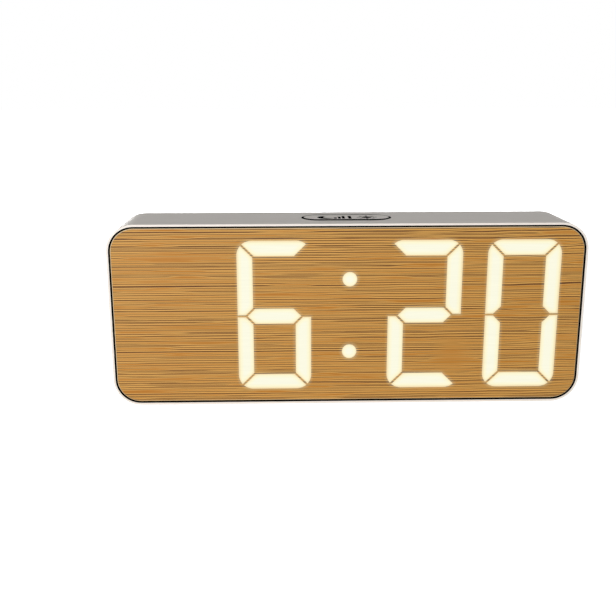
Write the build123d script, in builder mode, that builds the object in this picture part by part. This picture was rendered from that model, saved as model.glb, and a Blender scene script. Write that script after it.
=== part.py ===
from build123d import *
import os
from math import hypot

# Digital LED desk clock. Millimetres. X runs to the right seen from the front, Y to the back, Z up.
# The origin is the middle of the footprint, at the height of the surface the clock stands on.

# Case: a moulded sleeve, open at the front for the panel and at the back for the cover
case_width = 162.0
case_height = 63.3
case_depth = 27.4
case_corner = 9.3
case_wall = 2.2
case_edge_round = 0.15
lip_width = 0.75
overrun = 1.0

# Screw bosses, pilot holes and screws
boss_diameter = 5.6
boss_inset = 3.4
boss_inset_z = 7.45
screw_diameter = 2.2
screw_clearance = 0.2
screw_head_diameter = 3.8
screw_head_height = 1.2
drive_width = 0.5
drive_depth = 0.6

# Front panel and the black ring that frames it
panel_setback = 0.1
panel_gap = 0.6
panel_thickness = 2.0
film_thickness = 0.4
film_bevel = 0.25
tape_thickness = 0.4
gasket_setback = 0.2

# Seven-segment figures: hours pair, two dots, minutes pair, spread over the face with a margin all round
figure_margin_x = 9.5
figure_margin_z = 5.6
digit_gap = 8.4
pair_gap = 26.2
figure_offset_x = 0.5
digit_corner = 5.0
segment_width = 5.3
segment_gap = 0.65
segment_tip_inset = 2.9
dot_diameter = 5.0
dot_pitch = 25.4
shown_segments = ("", "acdefg", "abdeg", "abcdef")
mitre_angle = 45

# Display module behind the panel
diffuser_thickness = 0.3
diffuser_clearance = 0.3
reflector_rim = 0.9
display_bay_gap = 2.25
peg_diameter = 2.0
peg_pitch_z = 36.0
peg_head = 0.6
peg_clearance = 0.1
led_length = 2.0
led_width = 1.25
led_height = 0.8
led_spread = 4.6
board_thickness = 1.6
board_side_clearance = 0.3

# Rear cover
cover_thickness = 2.0
cover_clearance = 0.2
cover_edge_bevel = 0.4
cover_screw_length = 8.0
cover_counterbore_depth = 1.3
cover_counterbore_clearance = 0.3
board_screw_length = 6.5

# Keys and the small tact switches under them
switch_width = 6.0
switch_height = 3.5
switch_corner = 0.5
plunger_diameter = 3.4
plunger_height = 1.0
plunger_well = 2.0
plunger_clearance = 0.05
key_play = 0.05

# Snooze key: oval, in the top of the case
snooze_length = 31.2
snooze_width = 13.3
snooze_gap = 0.45
snooze_proud = 0.2
snooze_edge_round = 0.25
snooze_flange = 0.8
snooze_flange_thickness = 1.0
snooze_post_height = 1.2
snooze_travel = 0.6
snooze_board_width = 8.0
snooze_board_clearance = 0.4
snooze_boss_clearance = 0.8
snooze_boss_inset = 3.5
snooze_screw_length = 5.5

# Rear keys in a row on the main board
rear_key_diameter = 6.0
rear_key_gap = 0.3
rear_key_proud = 0.6
rear_key_round = 0.3
rear_key_flange = 1.0
rear_key_flange_thickness = 0.9
rear_key_travel = 0.5
rear_key_pitch = 11.0
rear_key_names = ("set", "down", "up", "alarm")

# Main board, carried by posts on the rear cover, between the battery bay, the case and the snooze board
main_board_inset = 10.0
main_board_bay_gap = 9.4
main_board_top_gap = 1.1
main_board_foot_gap = 6.45
main_board_corner = 2.0
main_post_diameter = 5.0
main_post_inset = 3.5
main_post_pilot = 4.5
row_gap = 0.5
low_row_pitch = 22.0

# Components on the boards
driver_length = 17.9
driver_width = 7.5
driver_height = 2.3
chip_size = 10.0
chip_height = 1.4
crystal_length = 10.5
crystal_width = 3.8
crystal_height = 3.4
capacitor_diameter = 5.0
capacitor_height = 5.4
capacitor_pitch = 8.0
buzzer_diameter = 12.0
buzzer_cover_gap = 0.45
buzzer_edge_gap = 2.5
buzzer_port = 2.0
buzzer_port_depth = 1.5
sound_hole = 1.5
sound_ring = 6.0
sound_hole_count = 6
header_pins = 6
header_pitch = 2.54
header_pin = 0.64
header_base = 2.5
header_play = 0.2
header_pin_reach = 3.0
socket_bore = 0.9

# Alarm slide switch on the main board
slider_length = 9.0
slider_width = 3.8
slider_height = 3.4
slider_slot_depth = 1.3
slider_slot_clearance = 0.1
lever_length = 2.0
lever_width = 1.6
lever_travel = 3.0
lever_proud = 0.3
lever_cover_clearance = 0.4

# Micro USB power inlet, upright on the main board
usb_width = 7.5
usb_height = 2.9
usb_wall = 0.3
usb_chamfer = 0.9
usb_mouth_recess = 0.3
usb_tongue_width = 3.9
usb_tongue_thickness = 0.7
usb_tongue_setback = 0.6
usb_port_width = 11.4
usb_port_height = 7.2
usb_port_corner = 1.6

# Battery bay for three AAA cells, its door, contacts and leads
cell_diameter = 10.5
cell_length = 44.5
cell_nub_diameter = 3.8
cell_nub_height = 1.0
cell_edge_round = 0.5
cell_count = 3
cell_gap = 0.4
cell_clearance = 0.1
contact_thickness = 0.4
contact_size = 8.6
contact_bow = 3.0
contact_bow_height = 4.0
bay_wall = 1.8
bay_floor = 1.2
bay_inset = 14.0
door_thickness = 1.6
door_ledge = 1.0
door_clearance = 0.25
door_cell_clearance = 0.35
hook_width = 6.0
hook_thickness = 0.9
hook_reach = 1.5
hook_root = 1.8
hook_drop = 0.35
hook_slot_clearance = 0.5
hook_pitch = 28.0
grip_width = 16.0
grip_height = 6.0
grip_depth = 0.7
grip_inset = 2.4
grip_rib_count = 4
grip_rib_width = 0.7
lead_diameter = 1.1
lead_bend = 2.0
lead_pitch = 12.0
lead_run = 5.0
lead_stand_off = 3.0
snooze_lead_inset = 6.0
snooze_lead_drop = 7.0

# Foot pads let into the underside
foot_diameter = 8.0
foot_thickness = 1.0
foot_proud = 0.5
foot_edge_round = 0.3
foot_inset_x = 15.0
foot_inset_y = 5.5

# Levels through the depth, worked out from the front face of the lip
front_y = -(case_depth + rear_key_proud) / 2
back_y = front_y + case_depth
case_middle_y = (front_y + back_y) / 2
film_y = front_y + panel_setback
panel_y = film_y + film_thickness
diffuser_y = panel_y + panel_thickness
ledge_y = diffuser_y + tape_thickness
reflector_y = diffuser_y + diffuser_thickness
cover_y = back_y - cover_thickness
switch_tip_y = cover_y - key_play - rear_key_flange_thickness
main_back_y = switch_tip_y - plunger_height - switch_height
main_y = main_back_y - board_thickness
door_y = back_y - door_thickness
cell_y = door_y - door_cell_clearance - cell_diameter / 2
bay_y = cell_y - cell_diameter / 2 - cell_clearance
display_back_y = bay_y - bay_floor - display_bay_gap
display_y = display_back_y - board_thickness
reflector_depth = display_y - reflector_y
buzzer_height = cover_y - main_back_y - buzzer_cover_gap

# Heights, worked out from the surface the pads stand on
base_z = foot_proud
mid_z = base_z + case_height / 2
top_z = base_z + case_height
ceiling_z = top_z - case_wall
snooze_flange_top_z = ceiling_z - key_play
snooze_flange_z = snooze_flange_top_z - snooze_flange_thickness
snooze_tip_z = snooze_flange_z - snooze_post_height
snooze_switch_z = snooze_tip_z - plunger_height - switch_height
snooze_board_z = snooze_switch_z - board_thickness

# Outlines that several pieces share
opening_width = case_width - 2 * lip_width
opening_height = case_height - 2 * lip_width
opening_corner = case_corner - lip_width
panel_width = opening_width - 2 * panel_gap
panel_height = opening_height - 2 * panel_gap
panel_corner = opening_corner - panel_gap
inner_width = case_width - 2 * case_wall
inner_height = case_height - 2 * case_wall
inner_corner = case_corner - case_wall
boss_x = inner_width / 2 - boss_inset
boss_pitch_z = inner_height - 2 * boss_inset_z
digit_width = (case_width - 2 * figure_margin_x - 2 * digit_gap - pair_gap) / len(shown_segments)
digit_height = case_height - 2 * figure_margin_z
digit_pitch = digit_width + digit_gap
pair_pitch = digit_pitch + digit_width + pair_gap
reflector_width = pair_pitch + digit_pitch + digit_width + 2 * reflector_rim
reflector_height = digit_height + 2 * reflector_rim
display_width = inner_width - 2 * board_side_clearance
screw_hole = screw_diameter + 2 * screw_clearance
snooze_board_y = display_back_y + snooze_board_clearance + snooze_board_width / 2
snooze_boss_x = snooze_length / 2 + snooze_flange + snooze_boss_clearance + boss_diameter / 2
snooze_board_length = 2 * (snooze_boss_x + snooze_boss_inset)
foot_x = case_width / 2 - foot_inset_x
foot_y = case_depth / 2 - foot_inset_y

# Battery bay and main board across the case, measured from the middle of the case's face
bay_length = cell_length + 2 * contact_thickness + contact_bow + cell_clearance
bay_height = cell_count * cell_diameter + (cell_count + 1) * cell_gap
bay_x = bay_inset + bay_length / 2 - inner_width / 2
bay_right_x = bay_x + bay_length / 2 + bay_wall
main_left_x = bay_right_x + main_board_bay_gap
main_right_x = inner_width / 2 - main_board_inset
main_top_z = snooze_board_z - main_board_top_gap - mid_z
main_foot_z = main_board_foot_gap - inner_height / 2
main_board_width = main_right_x - main_left_x
main_board_height = main_top_z - main_foot_z
main_x = (main_left_x + main_right_x) / 2
main_z = (main_top_z + main_foot_z) / 2
main_post_pitch_x = main_board_width - 2 * main_post_inset
main_post_pitch_z = main_board_height - 2 * main_post_inset

# Key row and low row on the main board, both clear of the posts, and what stands in them
post_reach = main_post_inset + main_post_diameter / 2 + row_gap
key_row_z = main_top_z - post_reach - rear_key_diameter / 2 - rear_key_flange
low_row_z = main_foot_z + post_reach + usb_port_height / 2
key_middle = (len(rear_key_names) - 1) / 2
key_row_x = [main_x + (i - key_middle) * rear_key_pitch for i in range(len(rear_key_names))]
usb_place = (main_x - low_row_pitch / 2, low_row_z)
slider_place = (main_x + low_row_pitch / 2, low_row_z)
buzzer_place = (main_right_x - buzzer_edge_gap - buzzer_diameter / 2, main_z)
lever_rest_x = slider_place[0] - lever_travel / 2
header_place = (main_x - capacitor_pitch - header_pins * header_pitch / 2, main_z)

# Battery bay up the case, midway between the case's floor and the snooze board, and its door
bay_z = (snooze_board_z - mid_z - inner_height / 2) / 2
cell_middle = (cell_count - 1) / 2
cell_rows = [bay_z + (i - cell_middle) * (cell_diameter + cell_gap) for i in range(cell_count)]
cell_facings = [1 if i % 2 == 0 else -1 for i in range(cell_count)]
door_seat_width = bay_length + 2 * door_ledge
door_seat_height = bay_height + 2 * door_ledge
door_width = door_seat_width - 2 * door_clearance
door_height = door_seat_height - 2 * door_clearance
door_top_z = bay_z + door_height / 2


def facing_front(y):
    """Sketch plane seen from the front, at depth y, with its origin at the middle of the case's face."""
    return Plane(origin=(0, y, mid_z), x_dir=(1, 0, 0), z_dir=(0, -1, 0))


def run_back(depth, mode=Mode.ADD):
    """Extrude the sketch just drawn from its plane towards the back of the clock."""
    extrude(amount=-depth, mode=mode)


def screw_group(plane, places, shank_length, outward=1):
    """Pan-head screws at places on plane: heads stand on its outward side, shanks go the other way."""
    with BuildPart() as screws:
        with BuildSketch(plane):
            with Locations(*places):
                Circle(screw_head_diameter / 2)
        extrude(amount=outward * screw_head_height)
        with BuildSketch(plane):
            with Locations(*places):
                Circle(screw_diameter / 2)
        extrude(amount=-outward * shank_length)
        with BuildSketch(plane.offset(outward * screw_head_height)):
            with Locations(*places):
                Rectangle(screw_head_diameter / 2, drive_width)
                Rectangle(drive_width, screw_head_diameter / 2)
        extrude(amount=-outward * drive_depth, mode=Mode.SUBTRACT)
    return screws


def grid_places(pitch_x, pitch_y, middle=(0, 0)):
    """The four corners of a rectangle round a middle point."""
    return [(middle[0] + i * pitch_x / 2, middle[1] + j * pitch_y / 2) for i in (-1, 1) for j in (-1, 1)]


pieces = {}

# The seven segments of one figure: a figure eight with rounded corners, parted by narrow mitred gaps
bar_z = (digit_height - segment_width) / 2
upright_x = (digit_width - segment_width) / 2
window_height = (digit_height - 3 * segment_width) / 2
upright_z = (window_height + segment_width) / 2
tip_x = digit_width / 2 - segment_tip_inset
tip_reach = segment_width / 2 + segment_gap
with BuildSketch(Plane.XY) as figure_eight:
    RectangleRounded(digit_width, digit_height, digit_corner)
    with Locations((0, upright_z), (0, -upright_z)):
        Rectangle(digit_width - 2 * segment_width, window_height, mode=Mode.SUBTRACT)
    for side in (-1, 1):
        with Locations((side * (tip_x + segment_tip_inset / 2), 0)):
            Rectangle(segment_tip_inset, segment_gap, mode=Mode.SUBTRACT)
        for end in (-1, 1):
            mitre = side * end * mitre_angle
            with Locations((side * upright_x, end * bar_z)):
                Rectangle(2 * segment_width, segment_gap, rotation=mitre, mode=Mode.SUBTRACT)
            with Locations((side * (tip_x - tip_reach / 2), end * tip_reach / 2)):
                Rectangle(hypot(tip_reach, tip_reach), segment_gap, rotation=-mitre, mode=Mode.SUBTRACT)

segment_places = {
    "a": (0, bar_z),
    "b": (upright_x, upright_z),
    "c": (upright_x, -upright_z),
    "d": (0, -bar_z),
    "e": (-upright_x, -upright_z),
    "f": (-upright_x, upright_z),
    "g": (0, 0),
}
segment_faces = {
    letter: figure_eight.faces().sort_by_distance(Vector(*place))[0]
    for letter, place in segment_places.items()
}
pair_places = [figure_offset_x + side * pair_pitch / 2 for side in (-1, 1)]
digit_places = [pair + side * digit_pitch / 2 for pair in pair_places for side in (-1, 1)]
dot_places = [(figure_offset_x, side * dot_pitch / 2) for side in (-1, 1)]


def lay_segments(shown, mode=Mode.ADD):
    """Lay the shown segments of the four figures and the two dots into the open sketch."""
    for digit_x, letters in zip(digit_places, shown):
        with Locations((digit_x, 0)):
            for letter in letters:
                add(segment_faces[letter], mode=mode)
    with Locations(*dot_places):
        Circle(dot_diameter / 2, mode=mode)


# Case sleeve: lip and panel recess in front, oval key hole on top, screw bosses inside, pad recesses below
with BuildPart() as housing:
    with BuildSketch(facing_front(front_y)):
        RectangleRounded(case_width, case_height, case_corner)
    run_back(case_depth)
    end_faces = housing.faces().sort_by(Axis.Y)
    fillet(end_faces[0].edges() + end_faces[-1].edges(), case_edge_round)
    with BuildSketch(facing_front(front_y - overrun)):
        RectangleRounded(opening_width, opening_height, opening_corner)
    run_back(overrun + ledge_y - front_y, Mode.SUBTRACT)
    with BuildSketch(facing_front(ledge_y - overrun)):
        RectangleRounded(inner_width, inner_height, inner_corner)
    run_back(overrun + back_y - ledge_y + overrun, Mode.SUBTRACT)
    with BuildSketch(facing_front(display_back_y)):
        with GridLocations(2 * boss_x, boss_pitch_z, 2, 2):
            Circle(boss_diameter / 2)
        with GridLocations(2 * boss_x + boss_inset + case_wall / 2, boss_pitch_z, 2, 2):
            Rectangle(boss_inset + case_wall / 2, boss_diameter)
    run_back(cover_y - display_back_y)
    with BuildSketch(facing_front(display_back_y - overrun)):
        with GridLocations(2 * boss_x, boss_pitch_z, 2, 2):
            Circle(screw_diameter / 2)
    run_back(cover_y - display_back_y + 2 * overrun, Mode.SUBTRACT)
    with BuildSketch(Plane.XY.offset(snooze_switch_z)):
        with Locations((-snooze_boss_x, snooze_board_y), (snooze_boss_x, snooze_board_y)):
            Circle(boss_diameter / 2)
    extrude(amount=ceiling_z + case_wall / 2 - snooze_switch_z)
    with BuildSketch(Plane.XY.offset(snooze_switch_z)):
        with Locations((-snooze_boss_x, snooze_board_y), (snooze_boss_x, snooze_board_y)):
            Circle(screw_diameter / 2)
    extrude(amount=snooze_screw_length - board_thickness, mode=Mode.SUBTRACT)
    with BuildSketch(Plane.XY.offset(ceiling_z - overrun)):
        with Locations((0, case_middle_y)):
            SlotOverall(snooze_length, snooze_width)
    extrude(amount=case_wall + 2 * overrun, mode=Mode.SUBTRACT)
    with BuildSketch(Plane.XY.offset(base_z + foot_thickness - foot_proud)):
        with Locations((0, case_middle_y)):
            with GridLocations(2 * foot_x, 2 * foot_y, 2, 2):
                Circle(foot_diameter / 2)
    extrude(amount=-(foot_thickness + overrun), mode=Mode.SUBTRACT)
pieces["housing"] = housing

# Black ring: fills the gap round the panel and, as tape, holds the panel's edge on the ledge
with BuildPart() as panel_gasket:
    with BuildSketch(facing_front(front_y + gasket_setback)):
        RectangleRounded(opening_width, opening_height, opening_corner)
    run_back(ledge_y - front_y - gasket_setback)
    with BuildSketch(facing_front(front_y)):
        RectangleRounded(panel_width, panel_height, panel_corner)
    run_back(diffuser_y - front_y, Mode.SUBTRACT)
    with BuildSketch(facing_front(front_y)):
        RectangleRounded(inner_width, inner_height, inner_corner)
    run_back(ledge_y - front_y + overrun, Mode.SUBTRACT)
pieces["panel_gasket"] = panel_gasket

# Clear acrylic plate that carries the film
with BuildPart() as front_panel:
    with BuildSketch(facing_front(panel_y)):
        RectangleRounded(panel_width, panel_height, panel_corner)
    run_back(panel_thickness)
pieces["front_panel"] = front_panel

# Bamboo-grain film on the plate's face, bevelled at its edge, without the areas that glow
with BuildPart() as bamboo_film:
    with BuildSketch(facing_front(film_y)):
        RectangleRounded(panel_width, panel_height, panel_corner)
    run_back(film_thickness)
    chamfer(bamboo_film.faces().sort_by(Axis.Y)[0].edges(), film_bevel)
    with BuildSketch(facing_front(film_y)):
        lay_segments(shown_segments)
    run_back(film_thickness, Mode.SUBTRACT)
pieces["bamboo_film"] = bamboo_film

# The areas of the film that glow: three figures and two dots
with BuildPart() as lit_segments:
    with BuildSketch(facing_front(film_y)):
        lay_segments(shown_segments)
    run_back(film_thickness)
pieces["lit_segments"] = lit_segments

# Milky sheet that evens out the light
with BuildPart() as diffuser_sheet:
    with BuildSketch(facing_front(diffuser_y)):
        RectangleRounded(
            inner_width - 2 * diffuser_clearance,
            inner_height - 2 * diffuser_clearance,
            inner_corner - diffuser_clearance,
        )
    run_back(diffuser_thickness)
pieces["diffuser_sheet"] = diffuser_sheet

# White moulding with a well for each segment and dot, staked to the display board by four pegs
peg_places = grid_places(pair_pitch, peg_pitch_z, (figure_offset_x, 0))
with BuildPart() as segment_reflector:
    with BuildSketch(facing_front(reflector_y)):
        with Locations((figure_offset_x, 0)):
            RectangleRounded(reflector_width, reflector_height, digit_corner + reflector_rim)
        lay_segments(["abcdefg"] * len(digit_places), Mode.SUBTRACT)
    run_back(reflector_depth)
    with BuildSketch(facing_front(display_y)):
        with Locations(*peg_places):
            Circle(peg_diameter / 2)
    run_back(board_thickness + peg_head)
pieces["segment_reflector"] = segment_reflector

# Circuit board across the case, behind the reflector
with BuildPart() as display_board:
    with BuildSketch(facing_front(display_y)):
        RectangleRounded(display_width, reflector_height, inner_corner - board_side_clearance)
        with GridLocations(2 * boss_x, boss_pitch_z, 2, 2):
            Circle(screw_hole / 2, mode=Mode.SUBTRACT)
        with Locations(*peg_places):
            Circle(peg_diameter / 2 + peg_clearance, mode=Mode.SUBTRACT)
    run_back(board_thickness)
pieces["display_board"] = display_board

# Chip LEDs: two at the foot of each segment's well and one behind each dot
with BuildPart() as segment_leds:
    with BuildSketch(facing_front(display_y)):
        for digit_x in digit_places:
            for letter, (place_x, place_z) in segment_places.items():
                with Locations((digit_x + place_x, place_z)):
                    if letter in "adg":
                        with GridLocations(led_spread, 0, 2, 1):
                            Rectangle(led_length, led_width)
                    else:
                        with GridLocations(0, led_spread, 1, 2):
                            Rectangle(led_width, led_length)
        with Locations(*dot_places):
            Rectangle(led_length, led_width)
    extrude(amount=led_height)
pieces["segment_leds"] = segment_leds

corner_places = grid_places(2 * boss_x, boss_pitch_z)
pieces["display_board_screws"] = screw_group(facing_front(display_y), corner_places, board_screw_length)

# Rear cover: plate with the battery bay, key holes, lever slot, USB port, sound holes and main board posts
post_places = grid_places(main_post_pitch_x, main_post_pitch_z, (main_x, main_z))
lever_slot_length = lever_length + lever_travel + 2 * lever_cover_clearance
lever_slot_width = lever_width + 2 * lever_cover_clearance
hook_y = cover_y - hook_drop - hook_thickness
hook_slot_y = hook_y - hook_slot_clearance
hook_slot_width = hook_width + 2 * hook_slot_clearance
hook_slot_top_z = door_top_z + hook_reach + hook_slot_clearance
bay_top_z = bay_z + bay_height / 2
with BuildPart() as rear_cover:
    with BuildSketch(facing_front(cover_y)):
        RectangleRounded(
            inner_width - 2 * cover_clearance,
            inner_height - 2 * cover_clearance,
            inner_corner - cover_clearance,
        )
    run_back(cover_thickness)
    chamfer(rear_cover.faces().sort_by(Axis.Y)[-1].edges(), cover_edge_bevel)
    with BuildSketch(facing_front(bay_y - bay_floor)):
        with Locations((bay_x, bay_z)):
            Rectangle(bay_length + 2 * bay_wall, bay_height + 2 * bay_wall)
    run_back(cover_y + cover_thickness / 2 - bay_y + bay_floor)
    with BuildSketch(facing_front(main_back_y)):
        with Locations(*post_places):
            Circle(main_post_diameter / 2)
    run_back(cover_y + cover_thickness / 2 - main_back_y)
    with BuildSketch(facing_front(bay_y)):
        with Locations((bay_x, bay_z)):
            Rectangle(bay_length, bay_height)
    run_back(back_y - bay_y + overrun, Mode.SUBTRACT)
    with BuildSketch(facing_front(door_y)):
        with Locations((bay_x, bay_z)):
            Rectangle(door_seat_width, door_seat_height)
    run_back(door_thickness + overrun, Mode.SUBTRACT)
    with BuildSketch(facing_front(hook_slot_y)):
        with Locations((bay_x, (hook_slot_top_z + bay_top_z - overrun) / 2)):
            with GridLocations(hook_pitch, 0, 2, 1):
                Rectangle(hook_slot_width, hook_slot_top_z - bay_top_z + overrun)
    run_back(cover_y - hook_slot_y, Mode.SUBTRACT)
    with BuildSketch(facing_front(hook_slot_y)):
        with Locations((bay_x, bay_top_z + (door_ledge - overrun) / 2)):
            with GridLocations(hook_pitch, 0, 2, 1):
                Rectangle(hook_slot_width, door_ledge + overrun)
    run_back(door_y + overrun - hook_slot_y, Mode.SUBTRACT)
    with BuildSketch(facing_front(main_back_y - overrun)):
        with Locations(*post_places):
            Circle(screw_diameter / 2)
    run_back(main_post_pilot + overrun, Mode.SUBTRACT)
    with BuildSketch(facing_front(cover_y - overrun)):
        with GridLocations(2 * boss_x, boss_pitch_z, 2, 2):
            Circle(screw_hole / 2)
        with Locations(*[(x, key_row_z) for x in key_row_x]):
            Circle(rear_key_diameter / 2 + rear_key_gap)
        with Locations(slider_place):
            SlotOverall(lever_slot_length, lever_slot_width)
        with Locations(usb_place):
            RectangleRounded(usb_port_width, usb_port_height, usb_port_corner)
        with Locations(buzzer_place):
            Circle(sound_hole / 2)
            with PolarLocations(sound_ring / 2, sound_hole_count):
                Circle(sound_hole / 2)
    run_back(cover_thickness + 2 * overrun, Mode.SUBTRACT)
    with BuildSketch(facing_front(back_y - cover_counterbore_depth)):
        with GridLocations(2 * boss_x, boss_pitch_z, 2, 2):
            Circle(screw_head_diameter / 2 + cover_counterbore_clearance)
    run_back(cover_counterbore_depth + overrun, Mode.SUBTRACT)
pieces["rear_cover"] = rear_cover

cover_seat = facing_front(back_y - cover_counterbore_depth)
pieces["rear_cover_screws"] = screw_group(cover_seat, corner_places, cover_screw_length, outward=-1)

# Main board and its screws, which enter the cover's posts from the front
with BuildPart() as main_board:
    with BuildSketch(facing_front(main_y)):
        with Locations((main_x, main_z)):
            RectangleRounded(main_board_width, main_board_height, main_board_corner)
        with Locations(*post_places):
            Circle(screw_hole / 2, mode=Mode.SUBTRACT)
    run_back(board_thickness)
pieces["main_board"] = main_board
main_screw_length = main_post_pilot + board_thickness
pieces["main_board_screws"] = screw_group(facing_front(main_y), post_places, main_screw_length)


def tact_switch(plane, place):
    """Square tact switch standing on plane at place, with the round well its plunger runs in."""
    with BuildPart() as switch:
        with BuildSketch(plane):
            with Locations(place):
                RectangleRounded(switch_width, switch_width, switch_corner)
        extrude(amount=switch_height)
        with BuildSketch(plane.offset(switch_height - plunger_well)):
            with Locations(place):
                Circle(plunger_diameter / 2 + plunger_clearance)
        extrude(amount=plunger_well + overrun, mode=Mode.SUBTRACT)
    return switch


def tact_plunger(plane, place, travel):
    """Round plunger of a tact switch on plane, clear of the well's floor by a little more than its travel."""
    root = switch_height - plunger_well + travel + plunger_clearance
    with BuildPart() as plunger:
        with BuildSketch(plane.offset(root)):
            with Locations(place):
                Circle(plunger_diameter / 2)
        extrude(amount=switch_height + plunger_height - root)
    return plunger


# Rear keys: round caps held behind the cover by a flange, each on its own switch
main_back_plane = Plane(origin=(0, main_back_y, mid_z), x_dir=(-1, 0, 0), z_dir=(0, 1, 0))
for key_name, key_x in zip(rear_key_names, key_row_x):
    with BuildPart() as key:
        with BuildSketch(facing_front(switch_tip_y)):
            with Locations((key_x, key_row_z)):
                Circle(rear_key_diameter / 2 + rear_key_flange)
        run_back(rear_key_flange_thickness)
        with BuildSketch(facing_front(switch_tip_y)):
            with Locations((key_x, key_row_z)):
                Circle(rear_key_diameter / 2)
        run_back(back_y + rear_key_proud - switch_tip_y)
        fillet(key.faces().sort_by(Axis.Y)[-1].edges(), rear_key_round)
    pieces[f"{key_name}_key"] = key
    pieces[f"{key_name}_key_switch"] = tact_switch(main_back_plane, (-key_x, key_row_z))
    pieces[f"{key_name}_key_plunger"] = tact_plunger(main_back_plane, (-key_x, key_row_z), rear_key_travel)

# Snooze key: oval cap with a flange under the case's top and a post down to its switch
with BuildPart() as snooze_key:
    with BuildSketch(Plane.XY.offset(snooze_flange_z)):
        with Locations((0, case_middle_y)):
            SlotOverall(snooze_length + 2 * snooze_flange, snooze_width + 2 * snooze_flange)
    extrude(amount=snooze_flange_thickness)
    with BuildSketch(Plane.XY.offset(snooze_flange_z)):
        with Locations((0, case_middle_y)):
            SlotOverall(snooze_length - 2 * snooze_gap, snooze_width - 2 * snooze_gap)
    extrude(amount=top_z + snooze_proud - snooze_flange_z)
    fillet(snooze_key.faces().sort_by(Axis.Z)[-1].edges(), snooze_edge_round)
    with BuildSketch(Plane.XY.offset(snooze_tip_z)):
        with Locations((0, snooze_board_y)):
            Circle(plunger_diameter / 2 + snooze_flange)
    extrude(amount=snooze_post_height + snooze_flange_thickness)
pieces["snooze_key"] = snooze_key

snooze_board_plane = Plane.XY.offset(snooze_switch_z)
pieces["snooze_switch"] = tact_switch(snooze_board_plane, (0, snooze_board_y))
pieces["snooze_switch_plunger"] = tact_plunger(snooze_board_plane, (0, snooze_board_y), snooze_travel)

# Small board under the snooze key, screwed up to two bosses of the case
snooze_screw_places = [(-snooze_boss_x, snooze_board_y), (snooze_boss_x, snooze_board_y)]
with BuildPart() as snooze_board:
    with BuildSketch(Plane.XY.offset(snooze_board_z)):
        with Locations((0, snooze_board_y)):
            RectangleRounded(snooze_board_length, snooze_board_width, main_board_corner)
        with Locations(*snooze_screw_places):
            Circle(screw_hole / 2, mode=Mode.SUBTRACT)
    extrude(amount=board_thickness)
pieces["snooze_board"] = snooze_board
snooze_screw_plane = Plane.XY.offset(snooze_board_z)
pieces["snooze_board_screws"] = screw_group(
    snooze_screw_plane, snooze_screw_places, snooze_screw_length, outward=-1
)

# Alarm slide switch: body with a slot, and the lever that shows in the cover
with BuildPart() as alarm_switch:
    with BuildSketch(facing_front(main_back_y)):
        with Locations(slider_place):
            Rectangle(slider_length, slider_width)
    run_back(slider_height)
    with BuildSketch(facing_front(main_back_y + slider_height - slider_slot_depth)):
        with Locations(slider_place):
            Rectangle(
                lever_length + lever_travel + 2 * slider_slot_clearance,
                lever_width + 2 * slider_slot_clearance,
            )
    run_back(slider_slot_depth + overrun, Mode.SUBTRACT)
pieces["alarm_switch"] = alarm_switch

lever_root_y = main_back_y + slider_height - slider_slot_depth + slider_slot_clearance
with BuildPart() as alarm_switch_lever:
    with BuildSketch(facing_front(lever_root_y)):
        with Locations((lever_rest_x, slider_place[1])):
            Rectangle(lever_length, lever_width)
    run_back(back_y + lever_proud - lever_root_y)
    fillet(alarm_switch_lever.faces().sort_by(Axis.Y)[-1].edges(), lever_proud)
pieces["alarm_switch_lever"] = alarm_switch_lever

# Micro USB inlet: folded metal shell with two slanted corners, and the tongue inside it
usb_mouth_y = cover_y - usb_mouth_recess
with BuildPart() as usb_socket_shell:
    with BuildSketch(facing_front(main_back_y)) as usb_outline:
        with Locations(usb_place):
            Rectangle(usb_width, usb_height)
        chamfer(usb_outline.vertices().group_by(Axis.Z)[0], usb_chamfer)
    run_back(usb_mouth_y - main_back_y)
    with BuildSketch(facing_front(main_back_y + usb_wall)) as usb_hollow:
        with Locations(usb_place):
            Rectangle(usb_width - 2 * usb_wall, usb_height - 2 * usb_wall)
        chamfer(usb_hollow.vertices().group_by(Axis.Z)[0], usb_chamfer)
    run_back(usb_mouth_y - main_back_y + overrun, Mode.SUBTRACT)
pieces["usb_socket_shell"] = usb_socket_shell

with BuildPart() as usb_socket_tongue:
    with BuildSketch(facing_front(main_back_y + usb_wall)):
        with Locations(usb_place):
            Rectangle(usb_tongue_width, usb_tongue_thickness)
    run_back(usb_mouth_y - usb_tongue_setback - main_back_y - usb_wall)
pieces["usb_socket_tongue"] = usb_socket_tongue

# Buzzer behind the sound holes
with BuildPart() as buzzer:
    with BuildSketch(facing_front(main_back_y)):
        with Locations(buzzer_place):
            Circle(buzzer_diameter / 2)
    run_back(buzzer_height)
    fillet(buzzer.faces().sort_by(Axis.Y)[-1].edges(), cell_edge_round)
    with BuildSketch(facing_front(main_back_y + buzzer_height - buzzer_port_depth)):
        with Locations(buzzer_place):
            Circle(buzzer_port / 2)
    run_back(buzzer_port_depth + overrun, Mode.SUBTRACT)
pieces["buzzer"] = buzzer


def block_on_board(y, place, length, width, height):
    """Rectangular component with its foot on the plane y: a positive height stands towards the back."""
    with BuildPart() as block:
        with BuildSketch(facing_front(y)):
            with Locations(place):
                Rectangle(length, width)
        run_back(height)
    return block


# Parts on the front of the main board and the back of the display board
chip_place = (main_x, main_z - chip_size / 2)
crystal_place = (chip_place[0] + chip_size + crystal_length / 2, chip_place[1])
driver_place = (crystal_place[0], main_z + chip_size)
capacitor_place = (chip_place[0] + capacitor_pitch, chip_place[1] - capacitor_pitch)
pieces["controller_chip"] = block_on_board(main_y, chip_place, chip_size, chip_size, -chip_height)
pieces["driver_chip"] = block_on_board(
    display_back_y, driver_place, driver_length, driver_width, driver_height
)

with BuildPart() as timing_crystal:
    with BuildSketch(facing_front(main_y)):
        with Locations(crystal_place):
            SlotOverall(crystal_length, crystal_width)
    extrude(amount=crystal_height)
pieces["timing_crystal"] = timing_crystal

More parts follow.
